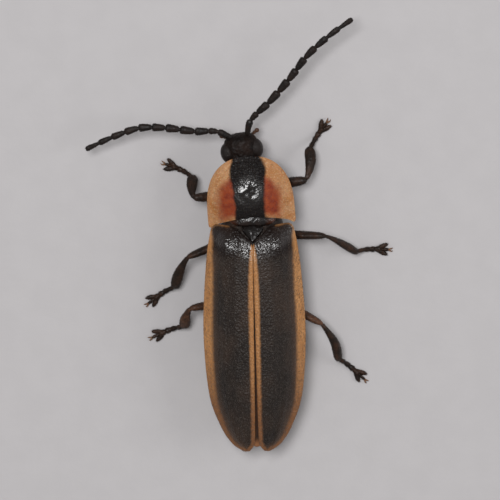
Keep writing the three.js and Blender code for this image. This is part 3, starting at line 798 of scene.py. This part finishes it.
def elytron(side):
    """One wing cover. Side is 1 on the left and -1 on the right."""
    def place(t, angle):
        inside = (t > 0) & (t < 1)
        share = np.where(inside, (1 - np.cos(angle)) / 2, 0.5)
        plan = inner_edge(t) * (1 - share[..., None]) + outer_edge(t) * share[..., None]
        x, y = plan[..., 0], plan[..., 1]
        thick = ELYTRON_THICKNESS * (0.6 + 0.4 * blunt(t, 16))
        offset = np.where(inside, 0.5 * signed_power(np.sin(angle), 0.5), 0)
        rise = np.where(offset > 0, ribs(share) * blunt(t, 8), 0)
        return stack(side * x, y, crown(x, y) - ELYTRON_THICKNESS / 2 + thick * offset + rise)

    return Skin(170, 110, place)


def folded_wings():
    """The hind wings, folded flat between the covers and the belly."""
    reach = profile((0.5, 0.5), (1.5, 0.95), (4.5, 0.9), (5.6, 0.6), (6.2, 0.25))

    def place(t, angle):
        y = HIND_WING_FRONT + HIND_WING_LENGTH * t
        x = reach(y) * blunt(t, 12) * np.cos(angle)
        lift = 0.07 * np.clip((y - 5.6) / 0.5, 0, 1)
        z = crown(x, y) - 0.15 + lift + 0.03 * blunt(t, 12) * np.sin(angle)
        return stack(x, y, z)

    return Skin(120, 40, place)


def distance_to(points, edge):
    """Plan distance from points to a line of edge points."""
    found = np.full(len(points), np.inf)
    for a, b in zip(edge[:-1], edge[1:]):
        step = b - a
        t = np.clip((points - a) @ step / (step @ step), 0, 1)
        found = np.minimum(found, np.linalg.norm(points - a - t[:, None] * step, axis=1))
    return found


def edge_measures(skin, side):
    """Distances past the tan borders along both edges, the front share (painted shade and less specular on
    the steep shoulder fronts), the shoulder glints, and the tail.
    """
    plan = skin.points[:, :2] * (side, 1)
    x, y = plan.T
    rim = outer_edge(np.linspace(0, 1, 160))
    seam = inner_edge(np.linspace(0.26, 1, 160))
    return {
        "edge": distance_to(plan, rim) - border_width(y),
        "seam": distance_to(plan, seam) - seam_width(y),
        # The front share, which darkens the colour as painted shade and lowers the specular and fine grain.
        "gloss": np.clip((FRONT_SHADE_START - y) / 0.45, 0, 1),
        "glint": np.exp(-(((y - GLINT_START + GLINT_SLANT * x) / GLINT_HALF_WIDTH) ** 2)),
        "tail": np.clip((y - 3.0) / 2.6, 0, 1),
    }


def downy(points, normals):
    """Down grows on the upper faces, and thins out on the polished shoulders."""
    x, y = points[:, 0], points[:, 1]
    tufts = np.sin(90 * x) + np.sin(90 * y)
    return faces_up(points, normals) & ((y > 0.7) | (tufts > 0.8))


def add_elytra(shell, membrane, hair):
    wings = folded_wings()
    tail = np.clip((wings.points[:, 1] - 5.9) / 0.2, 0, 1)
    add_piece("hind_wings", wings, membrane, measures={"tail": tail})
    for name, side in SIDES:
        skin = elytron(side)
        measures = edge_measures(skin, side)
        add_piece(f"wing_cover_{name}", skin, shell, [f"elytron_{name}"], measures)
        coat(f"wing_down_{name}", skin, WING_DOWN, hair, 11 + side, WING_LAY, downy)


# Neck shield.

pronotum_rise = profile(
    (-PRONOTUM_LENGTH, 0), (-1.4, 0.56), (-1, 0.88), (PRONOTUM_SUMMIT_Y, 1), (0.1, 0.76)
)
pronotum_rim = profile((-PRONOTUM_LENGTH, 1.38), (-0.9, 1.32), (0.1, 1.26))
# How far the hind edge bends in between its corners, by the distance from the midline.
hind_bay = profile((0, 0.39), (0.45, 0.32), (0.85, 0.2), (1, 0.12), (1.1, 0.02), (PRONOTUM_HALF_WIDTH, 0))


def pronotum_crown(x, y):
    share = np.minimum(np.abs(x) / PRONOTUM_HALF_WIDTH, 1)
    return pronotum_rim(y) + PRONOTUM_CROWN * pronotum_rise(y) * (1 - share**2.6) ** 1.5


def pronotum():
    """The neck shield, before its slight turn."""
    widest_y = PRONOTUM_CORNER_Y - PRONOTUM_HIND_REACH

    def place(t, angle):
        reach = np.sin(np.pi * t) ** 0.8
        front = np.sin(angle) < 0
        fullness = np.where(front, 2.6, 9)
        along = (1 - np.abs(np.cos(angle)) ** fullness) ** (1 / fullness)
        length = np.where(front, -PRONOTUM_LENGTH - widest_y, PRONOTUM_HIND_REACH)
        x = PRONOTUM_HALF_WIDTH * np.cos(angle) * reach
        y = widest_y + length * along * reach
        hind_part = np.clip(1 + (y - PRONOTUM_CORNER_Y) / 0.9, 0, 1)
        y = y - hind_bay(np.abs(x)) * hind_part**2
        half = PRONOTUM_THICKNESS * (1 - 0.4 * reach**2) / 2
        offset = signed_power(np.cos(np.pi * t), 0.6) * half
        lip = np.where((t < 0.5) & front, 0.035 * np.exp(-(((reach - 0.94) / 0.045) ** 2)), 0)
        return stack(x, y, pronotum_crown(x, y) - half + offset + lip)

    return Skin(90, 160, place)


# Half-width of the black band, and the outer edge of the red beside it, from front to back.
band_half_width = profile(
    (-1.9, 0.34), (-1.8, 0.38), (-1.57, 0.47), (-1.3, 0.46), (-0.9, 0.41), (-0.5, 0.4), (0, 0.45)
)
red_half_width = profile((-1.5, 0.2), (-1.25, 0.62), (-0.9, 0.8), (-0.4, 0.82), (-0.15, 0.74), (0.1, 0.6))


def shield_measures(skin):
    """Signed distances to the band and the red patches, and where the shield shines most."""
    x, y = skin.points[:, 0], skin.points[:, 1]
    off_centre = np.abs(x - BAND_CENTRE)
    hind_line = PRONOTUM_CORNER_Y - hind_bay(np.abs(x))
    ahead = np.minimum(y - PRONOTUM_CORNER_Y + PRONOTUM_HIND_REACH, 0)
    front_reach = PRONOTUM_LENGTH - PRONOTUM_HIND_REACH + PRONOTUM_CORNER_Y
    margin = np.hypot(x / PRONOTUM_HALF_WIDTH, ahead / front_reach)
    return {
        "band": off_centre - band_half_width(y),
        "red": np.maximum(off_centre - red_half_width(y), y - hind_line + 0.07),
        "gloss": hill(x, y, DISC, DISC_HALF_SIZE) + hill(x, y, FRONT_SPOT, FRONT_SPOT_HALF_SIZE),
        "front": np.clip((-0.9 - y) / 0.3, 0, 1),
        "margin": np.clip((margin - 0.55) / 0.3, 0, 1),
    }


def add_pronotum(shell, hair):
    flat = pronotum()
    measures = shield_measures(flat)
    skin = flat.moved(lambda points: turned(points, PRONOTUM_YAW))
    add_piece("neck_shield", skin, shell, ["pronotum"], measures)
    coat("neck_shield_down", skin, SHIELD_DOWN, hair, 21, TAILWARD, faces_up)


# Trunk and belly.

trunk_width = profile((0, 0.84), (0.8, 1.02), (2, 1.06), (3.5, 1.07), (4.7, 0.96), (5.5, 0.74), (6.1, 0.4))
trunk_bottom = profile((0, 0.66), (1, 0.6), (3, 0.6), (4.7, 0.66), (5.5, 0.74), (6.1, 0.84))
prothorax_width = profile((-1.4, 0.42), (-1, 0.6), (-0.4, 0.72), (0, 0.76))


def trunk_slice(start, end, width, bottom, top, relief):
    """A length of trunk, swelling to a lip at its hind end, with relief on its underside."""

    def place(t, angle):
        y = start + (end - start) * t
        lip = 0.93 + 0.07 * t + 0.03 * np.exp(-(((t - 0.9) / 0.08) ** 2))
        size = lip * blunt(t, 18)
        x = width(y) * size * np.cos(angle)
        sine = np.sin(angle)
        rise = (top(x, y) - TRUNK_SIDE_HEIGHT) * np.abs(sine) ** 0.7
        drop = (TRUNK_SIDE_HEIGHT - bottom(y)) * np.abs(sine) ** 0.85
        z = TRUNK_SIDE_HEIGHT + size * np.where(sine > 0, rise, -drop)
        carved = np.where(sine < 0, relief(np.abs(x), t), 0) * np.abs(sine)
        return stack(x, y, z - carved)

    return Skin(60, 120, place)


def under_covers(x, y):
    """Height of the trunk's back below the wing covers."""
    return crown(x, y) - 0.2


def under_shield(x, y):
    """Height of the trunk's back below the neck shield."""
    sunk = 0.5 * np.clip(y + 0.5, 0, 1)
    return pronotum_crown(x, y) - 0.08 - sunk


def breast_plates(x, t):
    """A keel along the middle, and a furrow between the middle plate and each side plate."""
    keel = 0.03 * np.exp(-((x / 0.05) ** 2))
    furrow = 0.035 * np.exp(-(((x - 0.5 - 0.22 * t) / 0.025) ** 2))
    return keel - furrow


def belly_plate(x, t):
    """A shallow dent on each side of a belly plate."""
    return -0.03 * np.exp(-(((x - 0.62) / 0.12) ** 2) - ((t - 0.5) / 0.25) ** 2)


def add_trunk(shell, belly, lantern, horn, hair):
    spans = {
        "breast_front": (*PROTHORAX_SPAN, prothorax_width, steady(PROTHORAX_BOTTOM), under_shield),
        "breast_middle": (*MESOTHORAX_SPAN, trunk_width, trunk_bottom, under_covers),
        "breast_hind": (*METATHORAX_SPAN, trunk_width, trunk_bottom, under_covers),
    }
    nodes = {"breast_front": "prothorax", "breast_middle": "mesothorax", "breast_hind": "metathorax"}
    for i, (name, span) in enumerate(spans.items()):
        skin = trunk_slice(*span, breast_plates)
        if name == "breast_front":
            skin = skin.moved(lambda points: turned(points, PRONOTUM_YAW))
        add_piece(name, skin, shell, [nodes[name]])
        coat(f"{name}_down", skin, BREAST_DOWN, hair, 30 + i, TAILWARD, faces_down)
    for i, node in enumerate(SEGMENT_NODES):
        start, end = SEGMENT_ENDS[i] - SEGMENT_OVERLAP, SEGMENT_ENDS[i + 1]
        skin = trunk_slice(start, end, trunk_width, trunk_bottom, under_covers, belly_plate)
        skin_material = lantern if node.startswith("lantern") else belly
        add_piece(f"belly_{node}", skin, skin_material, [node])
        coat(f"belly_down_{i}", skin, BELLY_DOWN, hair, 40 + i, TAILWARD, faces_down)
    neck = limb(NECK_PATH, steady(NECK_RADIUS), steady(NECK_RADIUS))
    add_piece("neck_skin", neck, horn, ["neck"])


def add_scutellum(gloss, broad_gloss):
    """Behind the neck shield: a broad plate, and a small triangle behind that."""
    tongue = profile((-0.05, 0.32), (0.05, 0.33), (0.19, 0.22), (0.3, 0.11), (0.42, 0.025))

    def small(t, angle):
        reach = np.sin(np.pi * t)
        y = 0.18 - 0.24 * np.cos(angle) * reach
        x = tongue(y) * signed_power(np.sin(angle), 0.9) * reach
        z = ridge_height(y) - 0.13 - 0.9 * x * x + 0.1 * signed_power(np.cos(np.pi * t), 0.7)
        return stack(x, y, z)

    def broad(t, angle):
        reach = np.sin(np.pi * t) ** 0.7
        x = MESONOTUM_HALF_WIDTH * signed_power(np.sin(angle), 0.6) * reach
        y = -0.2 - 0.23 * signed_power(np.cos(angle), 0.7) * reach
        z = 1.43 - 0.25 * x * x + 0.2 * y + 0.14 * signed_power(np.cos(np.pi * t), 0.6)
        return stack(x, y, z)

    add_piece("small_shield", Skin(24, 32, small), gloss, ["scutellum"])
    plate = Skin(30, 48, broad)
    add_piece("back_plate", plate, broad_gloss, ["mesonotum"], {"side": np.abs(plate.points[:, 0])})


# Head.


def in_head(points):
    """Points of the head in the body's place and turn."""
    return turned(points, HEAD_YAW) + HEAD_CENTRE


def add_head(shell, eye_skin, horn, soft, hair):
    width = profile((-HEAD_FRONT, 0.92), (0, 1), (HEAD_BACK, 0.68))

    def capsule(t, angle):
        u = (1 - np.cos(np.pi * t)) / 2
        y = -HEAD_FRONT + (HEAD_FRONT + HEAD_BACK) * u
        reach = blunt(u, 6)
        droop = 0.22 * np.maximum(-y, 0)
        x = HEAD_HALF_WIDTH * width(y) * reach * signed_power(np.cos(angle), 0.9)
        return in_head(stack(x, y, HEAD_HALF_HEIGHT * reach * np.sin(angle) - droop))

    skull = Skin(64, 72, capsule)
    add_piece("head_capsule", skull, shell, ["head"])
    coat("head_down", skull, HEAD_DOWN, hair, 61)
    for name, side in SIDES:
        add_piece(f"eye_ball_{name}", eye(side), eye_skin, [f"eye_{name}"])
        add_piece(f"jaw_{name}", jaw(side), horn, [f"mandible_{name}"])
        add_piece(f"feeding_palp_{name}", palp(side), soft, [f"palp_{name}"])


def eye(side):
    def place(t, angle):
        tilt = np.pi * t
        x = side * (EYE_SIDE + EYE_RADII[0] * np.cos(tilt))
        y = EYE_BACK + EYE_RADII[1] * np.sin(tilt) * np.cos(angle)
        z = -0.01 + EYE_RADII[2] * np.sin(tilt) * np.sin(angle)
        return in_head(stack(x, y, z))

    return Skin(40, 56, place)


def jaw(side):
    path = in_head(np.array(JAW_PATH) * (side, 1, 1))
    taper = lambda t: 0.07 - 0.05 * t
    return limb(path, taper, taper)


def palp(side):
    """Four short joints, the last one a club."""
    path = in_head(np.array(PALP_PATH) * (side, 1, 1))
    club = profile((0, 0.7), (0.6, 1), (1, 0.6))
    joints = []
    for start, end, radius in PALP_JOINTS:
        wide = scaled(club, radius)
        joints.append(limb(path, wide, wide, rows=12, around=14, round_end=4, along=(start, end)))
    return joints


# Feelers.

antennomere = profile((0, 0.5), (0.12, 0.74), (0.45, 0.94), (0.8, 1.05), (0.95, 0.92), (1, 0.7))


def add_antennae(horn, hair):
    for name, points in ANTENNA_PATHS.items():
        total = sum(ANTENNA_JOINTS)
        ends = np.concatenate([[0], np.cumsum(ANTENNA_JOINTS)]) / total
        for place, (first, last) in ANTENNA_LENGTHS.items():
            joints = []
            for i in range(first, last):
                wide = scaled(antennomere, ANTENNA_RADII[i])
                high = scaled(antennomere, 0.8 * ANTENNA_RADII[i])
                span = (ends[i], ends[i + 1])
                joints.append(limb(points, wide, high, rows=22, around=18, round_end=14, along=span))
            add_piece(f"feeler_{name}_{place}", joints, horn, [f"antenna_{name}_{place}"])
            for i, joint in enumerate(joints):
                coat(f"feeler_down_{name}_{place}_{i}", joint, FEELER_DOWN, hair, 70 + i)
        wide, high = steady(0.05), steady(0.042)
        core = limb(points, wide, high, rows=120, around=12, round_end=20, along=(0.01, 0.985))
        add_piece(f"feeler_core_{name}", core, horn)


# Legs.


def add_leg(name, joints, thigh_skin, shin_skin, horn, pale, hair, seed):
    """One leg from hip to claws, with its down."""
    root, hip, knee, ankle = (np.array(joints[key]) for key in ("root", "hip", "knee", "ankle"))
    coxa_radius = lambda t: COXA_RADIUS * (1 - 0.3 * t)
    coxa = limb([root, hip], coxa_radius, coxa_radius, rows=18, around=20, round_end=4)
    middle = (hip + knee) / 2 + (0, 0, 0.04)
    thick = profile((0, 0.7), (0.15, 0.92), (0.45, 1), (0.75, 0.92), (0.95, 0.74), (1, 0.68))
    wide = scaled(thick, FEMUR_HALF_WIDTH * joints["girth"])
    high = scaled(thick, 1.3 * FEMUR_HALF_WIDTH)
    femur = limb([hip, middle, knee], wide, high, rows=30, around=24, round_end=12)
    shin = np.array([*joints["shin"], (knee[2] + ankle[2]) / 2 + 0.03])
    in_knee = knee - JOINT_OVERLAP * unit(knee - middle)
    blade = profile((0, 0.42), (0.16, 0.5), (0.32, 0.7), (0.55, 0.95), (0.8, 1), (0.95, 0.84), (1, 0.7))
    flatness = joints["flatness"]
    wide = scaled(blade, TIBIA_HALF_WIDTH * min(1, 1 / flatness))
    high = scaled(blade, TIBIA_HALF_WIDTH * min(1, flatness))
    bends = [in_knee, knee + (shin - knee) * 0.2, shin, ankle]
    tibia = limb(bends, wide, high, rows=36, around=24, round_end=12, power=0.9)
    add_piece(f"hip_{name}", coxa, horn, [f"{name}_coxa"])
    add_piece(f"thigh_{name}", femur, thigh_skin, [f"{name}_femur"])
    add_piece(f"shin_{name}", tibia, shin_skin, [f"{name}_tibia"])
    in_ankle = ankle - JOINT_OVERLAP * unit(ankle - shin)
    foot, claws = tarsus(in_ankle, np.array([*joints["toe"], TARSUS_HEIGHT]))
    add_piece(f"foot_{name}", foot, horn, [f"{name}_tarsus"])
    add_piece(f"claws_{name}", claws, pale)
    coat(f"thigh_down_{name}", femur, THIGH_DOWN, hair, seed)
    coat(f"shin_down_{name}", tibia, SHIN_DOWN, hair, seed + 1)
    for i, skin in enumerate(foot):
        coat(f"foot_down_{name}_{i}", skin, FOOT_DOWN, hair, seed + 2 + i)


def tarsus(ankle, tip):
    """Five foot joints, the fourth with two lobes, and two claws."""
    bend = ankle * 0.6 + tip * 0.4
    bend[2] = TARSUS_HEIGHT + 0.02
    points = [ankle, bend, tip]
    path = path_through(points)
    ends = np.concatenate([[0], np.cumsum(TARSUS_JOINTS)])
    shape = profile((0, 0.6), (0.7, 1), (1, 0.75))
    foot = []
    for start, end, swell in zip(ends[:-1], ends[1:], TARSUS_SWELL):
        wide = scaled(shape, TARSUS_HALF_WIDTH * swell)
        high = scaled(shape, 0.8 * TARSUS_HALF_WIDTH * swell)
        span = (max(start - 0.02, 0), min(end + 0.02, 1))
        foot.append(limb(points, wide, high, rows=12, around=14, round_end=6, along=span))
    ahead = unit((tip - bend) * (1, 1, 0))
    lobe_root = path(ends[3] + 0.03)
    lobe_width = profile((0, 0.04), (0.6, 0.062), (1, 0.05))
    claws = []
    for side in (-1, 1):
        lobe_end = lobe_root + turned(ahead, side * LOBE_SPREAD) * LOBE_LENGTH
        lobe_end[2] = 0.05
        lobe_height = steady(LOBE_HALF_HEIGHT)
        lobe = limb([lobe_root, lobe_end], lobe_width, lobe_height, rows=14, around=16, round_end=3)
        foot.append(lobe)
        hook = tip + turned(ahead, side * CLAW_SPREAD) * 0.07 + (0, 0, 0.02)
        point = hook + ahead * 0.05
        point[2] = 0.02
        taper = lambda t: CLAW_RADIUS * (1 - 0.8 * t)
        bends = [tip - ahead * 0.02, hook, point]
        claws.append(limb(bends, taper, taper, rows=12, around=8, round_end=8))
    return foot, claws


# Stage.


def add_floor():
    mesh = bpy.data.meshes.new("floor")
    corners = [(FLOOR_REACH * x, FLOOR_REACH * y, 0) for x, y in ((-1, -1), (1, -1), (1, 1), (-1, 1))]
    mesh.from_pydata(corners, [], [(0, 1, 2, 3)])
    mesh.materials.append(floor_material())
    floor = bpy.data.objects.new("floor", mesh)
    bpy.context.scene.collection.objects.link(floor)


def add_light(name, place, size, power):
    """A square lamp that points at the animal."""
    data = bpy.data.lights.new(name, "AREA")
    data.size = size
    data.energy = power
    lamp = bpy.data.objects.new(name, data)
    lamp.location = place
    lamp.rotation_euler = (-Vector(place)).to_track_quat("-Z", "Y").to_euler()
    bpy.context.scene.collection.objects.link(lamp)


def add_world():
    world = bpy.data.worlds.new("studio")
    world.use_nodes = True
    background = world.node_tree.nodes["Background"]
    background.inputs["Color"].default_value = WORLD_WHITE
    background.inputs["Strength"].default_value = WORLD_STRENGTH
    bpy.context.scene.world = world


def add_camera():
    """Looks down on the back, leaning to the head side and slightly rolled."""
    lean = np.array([0, -math.sin(CAMERA_LEAN), math.cos(CAMERA_LEAN)])
    right = np.array([-1.0, 0, 0])
    up = np.cross(lean, right)
    c, s = math.cos(CAMERA_ROLL), math.sin(CAMERA_ROLL)
    turned_right = c * right - s * up
    turned_up = c * up + s * right
    data = bpy.data.cameras.new("camera")
    data.sensor_width = SENSOR_WIDTH
    data.lens = SENSOR_WIDTH * CAMERA_DISTANCE / PICTURE_WIDTH
    data.clip_start = 0.01
    camera = bpy.data.objects.new("camera", data)
    axes = Matrix((turned_right, turned_up, lean)).transposed()
    place = ORIGIN + CAMERA_TARGET + lean * CAMERA_DISTANCE
    camera.matrix_world = Matrix.Translation(Vector(place)) @ axes.to_4x4()
    bpy.context.scene.collection.objects.link(camera)
    bpy.context.scene.camera = camera


def build():
    add_camera()
    add_world()
    add_floor()
    add_light("key", *KEY_LIGHT)
    add_light("side", *SIDE_LIGHT)
    down = hair_material("pale_down", HAIR_PALE)
    bristle = hair_material("dark_bristle", HAIR_DARK)
    body = cuticle("body_shell", SHELL_BLACK, SHELL_BROWN)
    head = cuticle("head_shell", HORN_DARK, HORN_BROWN, 0.48, grain_scale=14.0, depth=0.02, gloss=0.13)
    plate = cuticle("plate_shell", HORN_DARK, HORN_DARK, 0.22, grain_scale=9.0, depth=0.03, gloss=0.5)
    horn = cuticle("dark_leg_shell", LEG_BLACK, LEG_DARK, 0.45)
    brown_horn = cuticle("brown_leg_shell", LEG_DARK, LEG_BROWN, 0.45)
    feeler = cuticle("feeler_shell", HORN_DARK, HORN_BROWN, 0.5)
    palps = cuticle("palp_skin", PALP_BROWN, PALP_BROWN, 0.5)
    pale = cuticle("claw_horn", LEG_BROWN, CLAW_PALE, 0.4)
    belly = cuticle("belly_shell", SHELL_BLACK, BELLY_BROWN, 0.4)
    wing_skin = wing_material()
    add_elytra(elytron_material(), wing_skin, down)
    add_pronotum(pronotum_material(), down)
    add_trunk(body, belly, lantern_material(), horn, down)
    add_scutellum(plate, plate_material())
    add_head(head, eye_material(), horn, palps, bristle)
    add_antennae(feeler, bristle)
    for i, (name, joints) in enumerate(LEGS.items()):
        thigh_skin = brown_horn if "hind" in name else horn
        shin_skin = brown_horn if name == "leg_hind_left" else horn
        add_leg(name, joints, thigh_skin, shin_skin, horn, pale, bristle, 200 + 20 * i)
    bpy.context.scene.view_settings.view_transform = "Standard"


build()
